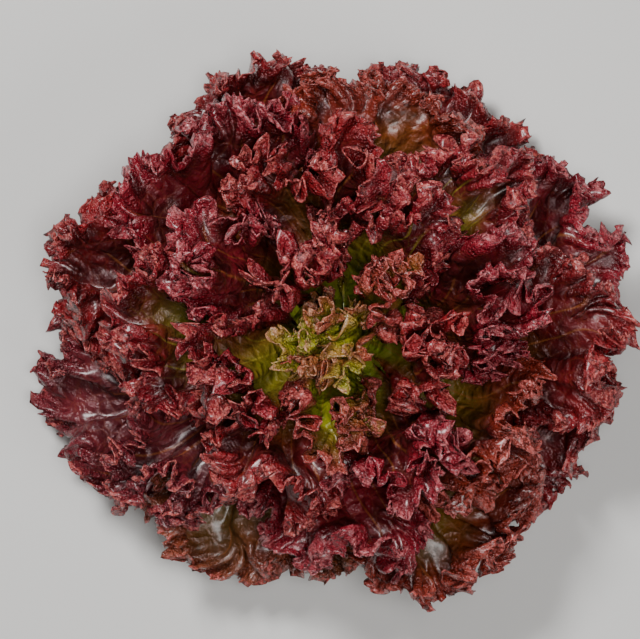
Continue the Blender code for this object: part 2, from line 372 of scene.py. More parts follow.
@dataclass(frozen=True)
class Teeth:
    """The pointed teeth of a margin and the rounded lobes that carry them.

    The drift, size and curl vary over lengths that are counted in teeth, and the lobes' drift over metres.
    """

    length: float = 0.0025
    depth: float = 0.0020
    lobe_length: float = 0.021
    lobe_depth: float = 0.0045
    lobe_reach: float = 0.022
    tooth_reach: float = 0.0030
    curl: float = 0.5
    jag: float = 0.0010
    jag_length: float = 0.0007
    drift: float = 0.9
    drift_length: float = 2.3
    sizes: Pair = (0.75, 0.6)
    size_length: float = 1.4
    point: float = 1.8
    tooth_floor: float = 0.35
    lobe_floor: float = 0.6
    lobe_drift: float = 0.35
    lobe_drift_length: float = 0.019
    curl_length: float = 1.9

    def shift(self, arc: Array, inwards: Array, grain: Grain) -> tuple[Array, Array]:
        """How far the teeth and lobes move the margin.

        Args:
            arc: the distance along the margin, in metres.
            inwards: the distance in from the margin, in metres.
            grain: the noise that makes the teeth uneven.

        Returns:
            The distances outwards and along the blade's normal.
        """
        drift = self.drift * grain.along(arc, self.drift_length * self.length)
        beat = np.abs(2.0 * ((arc / self.length + drift) % 1.0) - 1.0)
        size = self.depth * (self.sizes[0] + self.sizes[1] * grain.along(arc, self.size_length * self.length))
        shape = size * (beat**self.point - self.tooth_floor) + self.jag * grain.along(arc, self.jag_length)
        tooth = shape * nearness(inwards, self.tooth_reach)
        drift = self.lobe_drift * grain.along(arc, self.lobe_drift_length)
        swell = np.abs(np.sin(math.pi * (arc / self.lobe_length + drift))) - self.lobe_floor
        lobe = self.lobe_depth * swell * nearness(inwards, self.lobe_reach)
        curl = self.curl * np.sign(grain.along(arc + self.length, self.curl_length * self.length))
        return tooth + lobe, curl * tooth


@dataclass
class Sheet:
    """Points, triangles, and a value for each point by attribute name. A "thickness" is in metres."""

    points: Array
    faces: Array
    values: dict[str, Array]

    def joined(self, others: list["Sheet"]) -> "Sheet":
        """This sheet with others in the same mesh.

        Args:
            others: sheets with the same attributes.

        Returns:
            One sheet of them all.
        """
        sheets = [self, *others]
        starts = np.cumsum([0] + [len(sheet.points) for sheet in sheets[:-1]])
        faces = [sheet.faces + start for sheet, start in zip(sheets, starts)]
        values = {key: np.concatenate([sheet.values[key] for sheet in sheets]) for key in self.values}
        return Sheet(np.concatenate([sheet.points for sheet in sheets]), np.concatenate(faces), values)

    def mesh(self, name: str) -> bpy.types.Mesh:
        """The sheet as a smooth mesh with its attributes.

        Args:
            name: the mesh's name.

        Returns:
            The mesh.
        """
        mesh = bpy.data.meshes.new(name)
        mesh.vertices.add(len(self.points))
        mesh.vertices.foreach_set("co", self.points.astype(np.float32).ravel())
        mesh.loops.add(self.faces.size)
        mesh.loops.foreach_set("vertex_index", self.faces.astype(np.int32).ravel())
        mesh.polygons.add(len(self.faces))
        mesh.polygons.foreach_set("loop_start", np.arange(0, self.faces.size, 3, dtype=np.int32))
        mesh.update(calc_edges=True)
        mesh.polygons.foreach_set("use_smooth", np.ones(len(self.faces), dtype=bool))
        for key, numbers in self.values.items():
            if key != "thickness":
                attribute = mesh.attributes.new(key, "FLOAT", "POINT")
                attribute.data.foreach_set("value", numbers.astype(np.float32))
        return mesh

    def thickened(self, name: str, grades: int = 24) -> bpy.types.Object:
        """The sheet as an object whose thickness comes from a modifier.

        Args:
            name: the object's name.
            grades: the number of steps that the thickness is rounded to.

        Returns:
            The object, linked to the scene.
        """
        obj = placed(name, self.mesh(name))
        thickness = self.values["thickness"]
        thickest = float(thickness.max())
        group = obj.vertex_groups.new(name="thickness")
        grade = np.round(thickness / thickest * grades).astype(int)
        for n in np.unique(grade):
            group.add(np.flatnonzero(grade == n).tolist(), float(n) / grades, "REPLACE")
        solid = obj.modifiers.new("Blade", "SOLIDIFY")
        solid.thickness = thickest
        solid.offset = 0.0
        solid.vertex_group = group.name
        solid.thickness_vertex_group = 0.0
        return obj


def placed(name: str, data: bpy.types.ID) -> bpy.types.Object:
    """A new object with its data, linked to the scene.

    Args:
        name: the object's name.
        data: its mesh, light or camera.

    Returns:
        The object.
    """
    obj = bpy.data.objects.new(name, data)
    bpy.context.scene.collection.objects.link(obj)
    return obj


def strip(low: int, columns: int, high: int, next_columns: int) -> Array:
    """Triangles between two rows of points.

    Args:
        low: the first row's first point.
        columns: the number of columns in the first row.
        high: the second row's first point.
        next_columns: the number in the second row, the same or twice as many.

    Returns:
        The triangles, as rows of three points.
    """
    i = np.arange(columns)
    a, b = low + i, low + i + 1
    if next_columns == columns:
        c, d = high + i, high + i + 1
        return np.concatenate([np.stack([a, b, d], 1), np.stack([a, d, c], 1)])
    c, d, e = (high + 2 * i + n for n in range(3))
    return np.concatenate([np.stack([a, b, d], 1), np.stack([a, d, c], 1), np.stack([b, e, d], 1)])


@dataclass
class Blade:
    """The fine mesh of one leaf: its rows of points, its ruffles and its thickness."""

    shape: LeafShape
    number: int
    redness: Pair
    ruffles: tuple[Ruffle, ...] = (
        Ruffle(length=0.0120, height=0.0038, depth=0.019, turn=1.4, wander=0.60),
        Ruffle(length=0.0056, height=0.0021, depth=0.011, turn=1.2, wander=0.70),
        Ruffle(length=0.0026, height=0.0013, depth=0.005, turn=0.4, wander=0.80),
    )
    teeth: Teeth = Teeth()
    blister_height: float = 0.0024
    blister_size: float = 0.0075
    swelling_height: float = 0.0022
    swelling_size: float = 0.024
    coarseness: int = 1
    # The width of the pale rim, a painted highlight along the margin, in metres.
    rim_highlight_width: float = 0.0007
    mottling: float = 0.12
    mottling_size: float = 0.030
    recurve: float = 0.0
    recurve_reach: float = 0.011
    crumple: float = 0.0024
    crumple_size: float = 0.0015
    crumple_reach: float = 0.0075
    margin_thickness: float = 0.00045
    blade_thickness: float = 0.0008
    root_thickness: float = 0.0014
    rib_thickness: float = 0.0032
    rib_slimming: float = 0.5
    rib_width: float = 0.35
    rib_taper: float = 1.4
    rib_heel: float = 0.12
    rib_at_heel: float = 0.55
    margin_points: int = 2049
    grain_offset: int = 11
    soft_from: Pair = (0.15, 0.5)
    thin_from: Pair = (0.3, 1.0)
    blister_floor: float = 0.3
    red_sides: float = 0.10
    rows: tuple[tuple[float, int], ...] = (
        (0.0, 6), (0.08, 6), (0.16, 6), (0.24, 12), (0.31, 12), (0.37, 12),
        (0.42, 24), (0.47, 24), (0.52, 24), (0.57, 24), (0.615, 24), (0.655, 24),
        (0.69, 48), (0.725, 48), (0.76, 48), (0.79, 48), (0.82, 48), (0.85, 48),
        (0.875, 96), (0.90, 96), (0.922, 96), (0.942, 96), (0.96, 96), (0.975, 192), (0.988, 192), (1.0, 192),
    )

    def margin_arc(self, v: Array) -> Array:
        """The distance along the folded margin.

        Args:
            v: the rays.

        Returns:
            The distance at each ray, in metres.
        """
        dense = np.linspace(0.0, 1.0, self.margin_points)
        points = self.shape.folded(dense, np.ones_like(dense))
        steps = np.linalg.norm(np.diff(points, axis=0), axis=1)
        return np.interp(v, dense, np.concatenate([[0.0], np.cumsum(steps)]))

    def thickness(self, v: Array, m: Array) -> Array:
        """The blade's thickness, with a rib down the middle that fades towards a thin margin.

        Args:
            v: the ray.
            m: the share of the way out.

        Returns:
            The thickness in metres.
        """
        heel = between((self.rib_at_heel, 1.0), np.clip(m / self.rib_heel, 0.0, 1.0))
        level = self.shape.shell / self.shape.head.shells
        fade = (1.0 - m) ** self.rib_taper * (1.0 - self.rib_slimming * level)
        rib = np.exp(-(((2.0 * v - 1.0) / self.rib_width) ** 2))
        at_root = self.root_thickness + (self.rib_thickness - self.root_thickness) * rib
        blade = between((self.blade_thickness, self.margin_thickness), eased(m, *self.thin_from))
        return blade + (at_root - self.blade_thickness) * fade * heel

    def row(self, m: float, columns: int) -> tuple[Array, dict[str, Array]]:
        """The points of one row, with the values that the finish reads.

        Args:
            m: the share of the way out.
            columns: the number of strips in the row.

        Returns:
            The points, and a value for each point by attribute name.
        """
        v = np.linspace(0.0, 1.0, columns + 1)
        along = np.full(columns + 1, m)
        small = 1e-3
        near = 0.8
        middle = self.shape.folded(v, along)
        across = unit(self.shape.folded(v + small, along) - self.shape.folded(v - small, along))
        outward = unit(middle - self.shape.folded(v, along - small))
        normal = unit(np.cross(outward, across))
        arc = self.margin_arc(v)
        margin = self.shape.folded(v, np.ones_like(v))
        behind = self.shape.folded(v, np.full_like(v, near))
        inwards = (1.0 - along) * np.linalg.norm(margin - behind, axis=1) / (1.0 - near)
        grain = Grain(self.number + self.grain_offset)
        out, up = self.teeth.shift(arc, inwards, grain)
        back = np.zeros_like(v)
        for ruffle in self.ruffles:
            height, lean = ruffle.shift(arc, inwards, grain)
            up += height
            back += lean
        soft = eased(along, *self.soft_from)
        up += soft * self.swelling_height * grain.at(middle, self.swelling_size)
        up += soft * self.blister_height * (np.abs(grain.at(middle, self.blister_size)) - self.blister_floor)
        limp = self.crumple * nearness(inwards, self.crumple_reach)
        up += limp * grain.at(middle, self.crumple_size)
        back += limp * grain.at(middle[:, [1, 2, 0]], self.crumple_size)
        points = middle + up[:, None] * normal - back[:, None] * across + out[:, None] * outward
        turned = self.recurve * nearness(inwards, self.recurve_reach) ** 2
        points[:, :2] += turned[:, None] * unit(middle[:, :2])
        tone = grain.at(middle, self.mottling_size)
        spread = np.abs(2.0 * v - 1.0)
        red = eased(along + self.mottling * tone + self.red_sides * spread, *self.redness)
        vein = self.vein_distance(v, middle)
        values = {
            "redness": red,
            # The nearness to the margin, which places the painted rim highlight.
            "edge": np.exp(-np.maximum(inwards - out, 0.0) / self.rim_highlight_width),
            "inwards": inwards / MM,
            "vein": vein / MM,
            "along": along,
            "thickness": self.thickness(v, along),
        }
        return points, values

    def vein_distance(self, v: Array, points: Array) -> Array:
        """The distance to the nearest main vein, of those that run along the crests of the folds.

        Args:
            v: the rays of one row.
            points: the points of the row.

        Returns:
            The distance of each point, in metres.
        """
        steps = np.linalg.norm(np.diff(points, axis=0), axis=1)
        local = np.interp(v, (v[1:] + v[:-1]) / 2, steps) * (len(v) - 1)
        beat = (2.0 * self.shape.waves * v + 0.5) % 1.0
        return np.minimum(beat, 1.0 - beat) / (2.0 * self.shape.waves) * local

    def sheet(self) -> Sheet:
        """The leaf as an open sheet.

        Returns:
            The sheet, with its rows joined by triangles.
        """
        points, values, starts, faces = [], [], [], []
        first = 0
        for m, per_wave in self.rows:
            columns = per_wave * self.shape.waves // self.coarseness
            row_points, row_values = self.row(m, columns)
            points.append(row_points)
            values.append(row_values)
            starts.append((first, columns))
            first += columns + 1
        for (low, columns), (high, next_columns) in zip(starts, starts[1:]):
            faces.append(strip(low, columns, high, next_columns))
        merged = {key: np.concatenate([row[key] for row in values]) for key in values[0]}
        return Sheet(np.concatenate(points), np.concatenate(faces), merged)


@dataclass
class Board:
    """A material's node board, with short ways to add and link nodes."""

    name: str
    material: bpy.types.Material = field(init=False)

    def __post_init__(self) -> None:
        """Makes the material with only its shader."""
        self.material = bpy.data.materials.new(self.name)
        self.material.use_nodes = True

    def add(self, kind: str, **settings: object) -> bpy.types.Node:
        """A new node.

        Args:
            kind: the node's type.
            **settings: the node's own settings, by name.

        Returns:
            The node.
        """
        node = self.material.node_tree.nodes.new(kind)
        for key, value in settings.items():
            setattr(node, key, value)
        return node

    def feed(self, socket: Socket, value: object) -> None:
        """Links a socket to an output, or sets its value.

        Args:
            socket: the input.
            value: the output or the value.
        """
        if isinstance(value, Socket):
            self.material.node_tree.links.new(value, socket)
        elif isinstance(value, tuple) and len(value) == 3 and socket.type == "RGBA":
            socket.default_value = (*value, 1.0)
        else:
            socket.default_value = value

    def dress(self, values: dict[str, object]) -> None:
        """Feeds the shader's sockets by name."""
        for name, value in values.items():
            self.feed(self.material.node_tree.nodes["Principled BSDF"].inputs[name], value)

    def attribute(self, name: str) -> Socket:
        """A value stored on the mesh."""
        return self.add("ShaderNodeAttribute", attribute_name=name).outputs["Fac"]

    def math(self, operation: str, *values: object) -> Socket:
        """One step of arithmetic.

        Args:
            operation: its name.
            *values: outputs or numbers.

        Returns:
            The result.
        """
        node = self.add("ShaderNodeMath", operation=operation)
        for socket, value in zip(node.inputs, values):
            self.feed(socket, value)
        return node.outputs[0]

    def graded(self, value: object, low: float, high: float, start: float = 0.0, end: float = 1.0) -> Socket:
        """A value eased from one range to another.

        Args:
            value: the output or number.
            low: the value where the result starts to change.
            high: the value where it has changed.
            start: the result at low.
            end: the result at high.

        Returns:
            The eased value.
        """
        node = self.add("ShaderNodeMapRange", interpolation_type="SMOOTHSTEP")
        for socket, number in zip(node.inputs, (value, low, high, start, end)):
            self.feed(socket, number)
        return node.outputs[0]

    def mixed(self, share: object, first: object, second: object) -> Socket:
        """Two colours mixed.

        Args:
            share: the share of the second colour.
            first: the first colour.
            second: the second colour.

        Returns:
            The colour.
        """
        node = self.add("ShaderNodeMix", data_type="RGBA")
        self.feed(node.inputs[0], share)
        self.feed(node.inputs[6], first)
        self.feed(node.inputs[7], second)
        return node.outputs[2]

    def texture(self, kind: str, scale: float, **settings: object) -> bpy.types.Node:
        """A texture in the object's own space.

        Args:
            kind: the node's type.
            scale: the waves or cells in a metre.
            **settings: the node's own settings, by name.

        Returns:
            The node.
        """
        node = self.add(kind, **settings)
        self.feed(node.inputs["Vector"], self.add("ShaderNodeTexCoord").outputs["Object"])
        node.inputs["Scale"].default_value = scale
        return node

    def noise(self, scale: float, detail: float = 3.0, roughness: float = 0.55) -> Socket:
        """Noise.

        Args:
            scale: the waves in a metre.
            detail: the number of finer layers.
            roughness: the strength of each finer layer.

        Returns:
            The noise, from 0 to 1.
        """
        node = self.texture("ShaderNodeTexNoise", scale)
        node.inputs["Detail"].default_value = detail
        node.inputs["Roughness"].default_value = roughness
        return node.outputs["Fac"]

    def cells(self, scale: float) -> Socket:
        """The distance to the walls of a net of cells, with its scale in cells a metre."""
        return self.texture("ShaderNodeTexVoronoi", scale, feature="DISTANCE_TO_EDGE").outputs["Distance"]

    def granules(self, scale: float) -> Socket:
        """The height of small rounded domes side by side, with their scale in domes a metre."""
        node = self.texture("ShaderNodeTexVoronoi", scale, feature="F1")
        return self.graded(node.outputs["Distance"], 0.0, 0.75, 1.0, 0.0)

    def bump(self, height: object, distance: float, strength: float, normal: object = None) -> Socket:
        """A bumped normal.

        Args:
            height: the height of the surface, from 0 to 1.
            distance: the height at 1, in metres.
            strength: the share of the bump that is used.
            normal: the normal that it is laid on, if any.

        Returns:
            The normal.
        """
        node = self.add("ShaderNodeBump")
        node.inputs["Strength"].default_value = strength
        node.inputs["Distance"].default_value = distance
        self.feed(node.inputs["Height"], height)
        if normal is not None:
            self.feed(node.inputs["Normal"], normal)
        return node.outputs["Normal"]


@dataclass(frozen=True)
class LeafFinish:
    """Crisp leaf: burgundy over green, with fine veins and blistered tissue between them, painted shade that
    darkens the red inwards from the margin, and a pale rim that is a painted highlight.
    """

    name: str
    # The dark red of the random patches, which also serves as painted shade deep inside the leaf.
    dark_tone_and_shade: Triple = (0.055, 0.004, 0.005)
    ruby: Triple = (0.280, 0.013, 0.018)
    olive: Triple = (0.130, 0.062, 0.006)
    green: Triple = (0.260, 0.330, 0.020)
    # Painted highlight: the pale colour along the margin, standing in for light caught by the thin edge.
    rim: Triple = (0.570, 0.120, 0.105)
    vein: Triple = (0.320, 0.100, 0.025)
    roughness: float = 0.22
    rough_spread: Pair = (-0.08, 0.14)
    rough_scale: float = 240.0
    rough_levels: Pair = (0.3, 0.7)
    dull_mm: Pair = (4.0, 16.0)
    dulled: float = 0.16
    patch_scale: float = 55.0
    patch_levels: Pair = (0.38, 0.66)
    patch_share: float = 0.50
    # Painted shade: the span in from the margin, in mm, over which the red darkens, and how much lighter it
    # stays at the margin.
    shading_mm: Pair = (1.0, 10.0)
    unshaded_share: float = 0.55
    green_until: Pair = (0.12, 0.42)
    net_scale: float = 170.0
    net_line: float = 0.07
    net_share: float = 0.10
    vein_mm: Pair = (0.15, 0.75)
    vein_share: float = 0.5
    inner_mm: Pair = (3.0, 14.0)
    # Painted glints: noise that breaks the painted rim highlight into specks.
    glint_scale: float = 520.0
    glint_levels: Pair = (0.42, 0.60)
    glint_shares: Pair = (0.05, 0.95)
    blister_width: float = 0.45
    blister_height: float = 0.0011
    blister_strength: float = 0.8
    grain_scale: float = 640.0
    grain_height: float = 0.0012
    granule_scale: float = 820.0
    granule_height: float = 0.0006
    inner_relief: float = 0.22

    def build(self) -> bpy.types.Material:
        """The finish as a material.

        Returns:
            The material.
        """
        board = Board(self.name)
        net = board.cells(self.net_scale)
        board.dress({
            "Base Color": self.colour(board, net),
            "Roughness": self.gloss(board),
            "Normal": self.relief(board, net),
            "Subsurface Weight": 0.10,
            "Subsurface Radius": (1.0, 0.35, 0.2),
            "Subsurface Scale": 0.0015,
            "Specular IOR Level": 0.60,
            "Specular Tint": (1.0, 0.76, 0.78, 1.0),
            "Coat Weight": 0.56,
            "Coat Roughness": 0.23,
        })
        return board.material

    def colour(self, board: Board, net: Socket) -> Socket:
        """Red over olive and green, darkened inwards from the margin by painted shade, then the veins, then
        the pale rim, a painted highlight broken into painted glints.

        Args:
            board: the material's board.
            net: the distance to the fine veins.

        Returns:
            The colour.
        """
        inwards = board.attribute("inwards")
        patches = board.graded(board.noise(self.patch_scale), *self.patch_levels)
        # Painted shade: the red is lighter at the margin and darkens inwards towards the dark colour, on top
        # of the random dark patches.
        outer = board.graded(inwards, *self.shading_mm, self.unshaded_share, 0.0)
        red = board.mixed(board.math("MULTIPLY_ADD", patches, self.patch_share, outer), self.dark_tone_and_shade, self.ruby)
        under = board.mixed(board.graded(board.attribute("along"), *self.green_until), self.green, self.olive)
        body = board.mixed(board.attribute("redness"), under, red)
        fine = board.math("MULTIPLY", board.graded(net, 0.0, self.net_line, 1.0, 0.0), self.net_share)
        main = board.graded(board.attribute("vein"), *self.vein_mm, 1.0, 0.0)
        veins = board.math("MAXIMUM", fine, board.math("MULTIPLY", main, self.vein_share))
        veins = board.math("MULTIPLY", veins, board.graded(inwards, *self.inner_mm))
        body = board.mixed(veins, body, self.vein)
        # The pale rim is a painted highlight along the margin, broken into painted glints by noise.
        glints = board.graded(board.noise(self.glint_scale, 2.0), *self.glint_levels, *self.glint_shares)
        return board.mixed(board.math("MULTIPLY", board.attribute("edge"), glints), body, self.rim)

    def gloss(self, board: Board) -> Socket:
        """The roughness, which varies in spots and is duller away from the margin.

        Args:
            board: the material's board.

        Returns:
            The roughness.
        """
        low, high = (self.roughness + part for part in self.rough_spread)
        spots = board.graded(board.noise(self.rough_scale, 2.0), *self.rough_levels, low, high)
        dulled = board.graded(board.attribute("inwards"), *self.dull_mm, 0.0, self.dulled)
        return board.math("ADD", spots, dulled)

    def relief(self, board: Board, net: Socket) -> Socket:
        """Blisters between the fine veins, with a grain and small domes that are strongest at the margin.

        Args:
            board: the material's board.
            net: the distance to the fine veins.

        Returns:
            The normal.
        """
        swollen = board.graded(net, 0.0, self.blister_width)
        blisters = board.bump(swollen, self.blister_height, self.blister_strength)
        raised = board.graded(board.attribute("inwards"), *self.inner_mm, 1.0, self.inner_relief)
        grain = board.math("MULTIPLY", board.noise(self.grain_scale, 3.0, 0.60), raised)
        grains = board.bump(grain, self.grain_height, 1.0, blisters)
        domes = board.math("MULTIPLY", board.granules(self.granule_scale), raised)
        return board.bump(domes, self.granule_height, 1.0, grains)


class Tint(Enum):
    """The colourings of the leaves, each with its finish and with where its red starts and is full."""

    # Each finish's dark colour also serves as painted shade inwards from the margin.
    RUBY = (LeafFinish("ruby_leaf"), (0.34, 0.76))
    # The rim colours are painted highlights along the margin.
    CRIMSON = (
        LeafFinish("crimson_leaf", ruby=(0.285, 0.010, 0.024), rim=(0.540, 0.130, 0.140)),
        (0.30, 0.66),
    )
    BRONZE = (
        LeafFinish("bronze_leaf", ruby=(0.300, 0.032, 0.016), olive=(0.180, 0.110, 0.008)),
        (0.44, 0.94),
    )
    PLUM = (
        LeafFinish("plum_leaf", dark_tone_and_shade=(0.075, 0.008, 0.012), ruby=(0.200, 0.018, 0.028)),
        (0.20, 0.45),
    )
    OLIVE = (
        LeafFinish("olive_leaf", ruby=(0.240, 0.050, 0.022), olive=(0.150, 0.090, 0.018)),
        (0.55, 1.05),
    )
    STAR = (
        LeafFinish(
            "star_leaf", ruby=(0.290, 0.012, 0.022), olive=(0.165, 0.150, 0.008),
            vein=(0.340, 0.260, 0.030),
        ),
        (0.50, 0.92),
    )
    GREEN = (
        LeafFinish("green_leaf", ruby=(0.330, 0.030, 0.030), olive=(0.210, 0.220, 0.010)),
        (0.70, 1.06),
    )


@dataclass
class Spiral:
    """The places of the leaves, a golden angle apart, and the draw of what differs among them."""

    head: Head
    seed: int = 40
    golden_angle: float = math.radians(137.508)
    first_azimuth: float = math.radians(58.0)
    reaches: Pair = (0.90, 1.0)
    draw: random.Random = field(init=False)

    def __post_init__(self) -> None:
        """Starts the draw."""
        self.draw = random.Random(self.seed)

    def azimuth(self, place: int) -> float:
        """The direction in which the leaf at a place grows."""
        return self.first_azimuth + place * self.golden_angle

    def folds(self) -> dict[str, object]:
        """One leaf's draw of its first fold's side, and of how its folds bunch, swell and wander.

        Returns:
            The values by the names of the leaf's fields.
        """
        draw = self.draw
        return {
            "side": draw.choice((-1.0, 1.0)),
            "bunching": (draw.uniform(-0.08, 0.08), draw.uniform(-0.05, 0.05)),
            "swell": (draw.uniform(0.10, 0.30), draw.uniform(0.0, math.tau)),
            "wander": (draw.uniform(0.15, 0.35), draw.uniform(0.0, math.tau)),
        }

    def free_leaf(self, place: int, waves: int) -> LeafShape:
        """The shape of the free leaf at a place, on the shell of the same number."""
        reach = self.draw.uniform(*self.reaches)
        return LeafShape(self.head, place, self.azimuth(place), waves, reach, **self.folds())

    def heart_leaf(self, place: int, shell: float, waves: int, reach: float) -> LeafShape:
        """The shape of a small leaf of the heart, which starts inside the bud."""
        shape = LeafShape(self.head, shell, self.azimuth(place), waves, reach, **self.folds())
        return replace(shape, root=0.10, half_width=math.radians(62.0), fold_turn=1.6, even_room=0.9)


@dataclass
class Leaves:
    """The free leaves, from the outermost in, each in the place of its node."""

    spiral: Spiral
    tints: dict[int, Tint] = field(default_factory=lambda: {
        1: Tint.PLUM, 4: Tint.OLIVE, 5: Tint.CRIMSON, 7: Tint.BRONZE, 8: Tint.BRONZE, 9: Tint.PLUM,
        11: Tint.CRIMSON, 12: Tint.CRIMSON, 13: Tint.STAR, 14: Tint.STAR, 15: Tint.BRONZE, 18: Tint.CRIMSON,
        19: Tint.CRIMSON, 20: Tint.CRIMSON, 21: Tint.STAR, 22: Tint.STAR, 24: Tint.STAR, 25: Tint.GREEN,
        26: Tint.GREEN,
    })

    def build(self) -> None:
        """Builds and dresses every free leaf."""
        finishes = {tint: tint.value[0].build() for tint in Tint}
        place = 0
        for ring in Ring:
            slot, count, waves, coarseness, recurve = ring.value
            for n in range(count):
                node = f"{slot}_{n + 1}"
                tint = self.tints.get(place, Tint.RUBY)
                shape = self.spiral.free_leaf(place, waves)
                blade = Blade(shape, place, tint.value[1], coarseness=coarseness, recurve=recurve)
                leaf = blade.sheet().thickened(f"frilled_{node}")
                leaf.data.materials.append(finishes[tint])
                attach(leaf, "root")
                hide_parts(node)
                log.info("%s: %s, %d faces before thickening", leaf.name, tint.name, len(leaf.data.polygons))
                place += 1


@dataclass
class Heart:
    """The bud and the small frilled leaves round it, in one piece."""

    spiral: Spiral
    leaves: tuple[tuple[float, int, float], ...] = (
        (28.5, 3, 0.88), (28.8, 3, 0.94), (29.1, 3, 0.84), (29.4, 3, 0.92), (29.8, 2, 0.82), (30.2, 2, 0.88),
    )
    bud_rings: tuple[Pair, ...] = (
        (0.0014, 0.0432), (0.0030, 0.0480), (0.0044, 0.0560),
        (0.0046, 0.0660), (0.0034, 0.0760), (0.0003, 0.0840),
    )
    bud_columns: int = 24
    bud_thickness: float = 0.0006
    bud_vein_mm: float = 5.0
    # The heart's dark colour also serves as painted shade inwards from the margin.
    finish: LeafFinish = LeafFinish(
        "heart_leaf", dark_tone_and_shade=(0.160, 0.060, 0.012), ruby=(0.440, 0.072, 0.045), olive=(0.250, 0.238, 0.013),
        # The rim colour is a bronze painted highlight along the heart leaves' margins.
        green=(0.240, 0.335, 0.017), rim=(0.540, 0.240, 0.140), vein=(0.380, 0.480, 0.050), roughness=0.24,
    )

    def blade(self, place: int, shape: LeafShape) -> Blade:
        """One small leaf with finer ruffles than the free ones.

        Args:
            place: the leaf's place on the spiral.
            shape: the leaf's folded shape.

        Returns:
            The blade.
        """
        return Blade(
            shape, place, redness=(0.80, 1.16), mottling=0.30, mottling_size=0.011,
            blister_height=0.0016, blister_size=0.0050, swelling_height=0.0012, swelling_size=0.014,
            crumple=0.0020, crumple_size=0.0016, crumple_reach=0.005,
            rim_highlight_width=0.0005, coarseness=2, recurve=0.0056, recurve_reach=0.014,
            ruffles=(
                Ruffle(length=0.0085, height=0.0024, depth=0.013, turn=1.5, wander=0.60),
                Ruffle(length=0.0040, height=0.0012, depth=0.007, turn=1.2, wander=0.70),
                Ruffle(length=0.0023, height=0.0009, depth=0.004, turn=0.3, wander=0.80),
            ),
            teeth=Teeth(length=0.0018, depth=0.0013, lobe_length=0.013, lobe_depth=0.0025, lobe_reach=0.012),
        )

    def bud(self, keys: list[str]) -> Sheet:
        """The bud as a turned sheet.

        Args:
            keys: the names of a blade's attributes.

        Returns:
            The sheet, which is even in all of them.
        """
        angles = np.linspace(0.0, math.tau, self.bud_columns + 1)
        rings = [round_axis(r, angles, np.full_like(angles, z)) for r, z in self.bud_rings]
        columns, step = self.bud_columns, self.bud_columns + 1
        faces = [strip(n * step, columns, (n + 1) * step, columns) for n in range(len(rings) - 1)]
        points = np.concatenate(rings)
        values = {key: np.zeros(len(points)) for key in keys}
        values["thickness"] = np.full(len(points), self.bud_thickness)
        values["vein"] = np.full(len(points), self.bud_vein_mm)
        return Sheet(points, np.concatenate(faces), values)

    def build(self) -> None:
        """Builds and dresses the heart."""
        sheets = []
        for n, (shell, waves, reach) in enumerate(self.leaves):
            place = self.spiral.head.free_leaves + n
            sheets.append(self.blade(place, self.spiral.heart_leaf(place, shell, waves, reach)).sheet())
        sheets.append(self.bud(list(sheets[0].values)))
        heart = sheets[0].joined(sheets[1:]).thickened("frilled_heart")
        heart.data.materials.append(self.finish.build())
        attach(heart, "root")
        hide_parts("heart")
        log.info("%s: %d faces before thickening", heart.name, len(heart.data.polygons))


@dataclass(frozen=True)
class StemFinish:
    """Pale green stem with a moist, creamy cut face whose edge has browned a little."""

    green: Triple = (0.430, 0.500, 0.200)
    pale: Triple = (0.640, 0.660, 0.440)
    cream: Triple = (0.720, 0.680, 0.470)
    brown: Triple = (0.340, 0.180, 0.070)
    side_scale: float = 140.0
    side_levels: Pair = (0.35, 0.7)
    face_scale: float = 520.0
    face_levels: Pair = (0.45, 0.7)
    face_share: float = 0.35
    brown_mm: Pair = (11.5, 15.5)
    brown_share: float = 0.8
    roughness: Pair = (0.55, 0.30)
    grain_scale: float = 700.0
    grain_height: float = 0.0004
    grain_strength: float = 0.7

    def build(self) -> bpy.types.Material:
        """The finish as a material.

        Returns:
            The material.
        """
        board = Board("cut_stem")
        streaks = board.graded(board.noise(self.side_scale), *self.side_levels)
        side = board.mixed(streaks, self.green, self.pale)
        spots = board.graded(board.noise(self.face_scale, 2.0), *self.face_levels, 0.0, self.face_share)
        face = board.mixed(spots, self.cream, self.green)
        browned = board.graded(board.attribute("radius"), *self.brown_mm, 0.0, self.brown_share)
        face = board.mixed(browned, face, self.brown)
        body = board.mixed(board.attribute("cut"), side, face)
        board.dress({
            "Base Color": body,
            "Roughness": board.graded(board.attribute("cut"), 0.0, 1.0, *self.roughness),
            "Normal": board.bump(board.noise(self.grain_scale), self.grain_height, self.grain_strength),
            "Subsurface Weight": 0.2,
            "Subsurface Radius": (1.0, 0.9, 0.5),
            "Subsurface Scale": 0.003,
        })
        return board.material


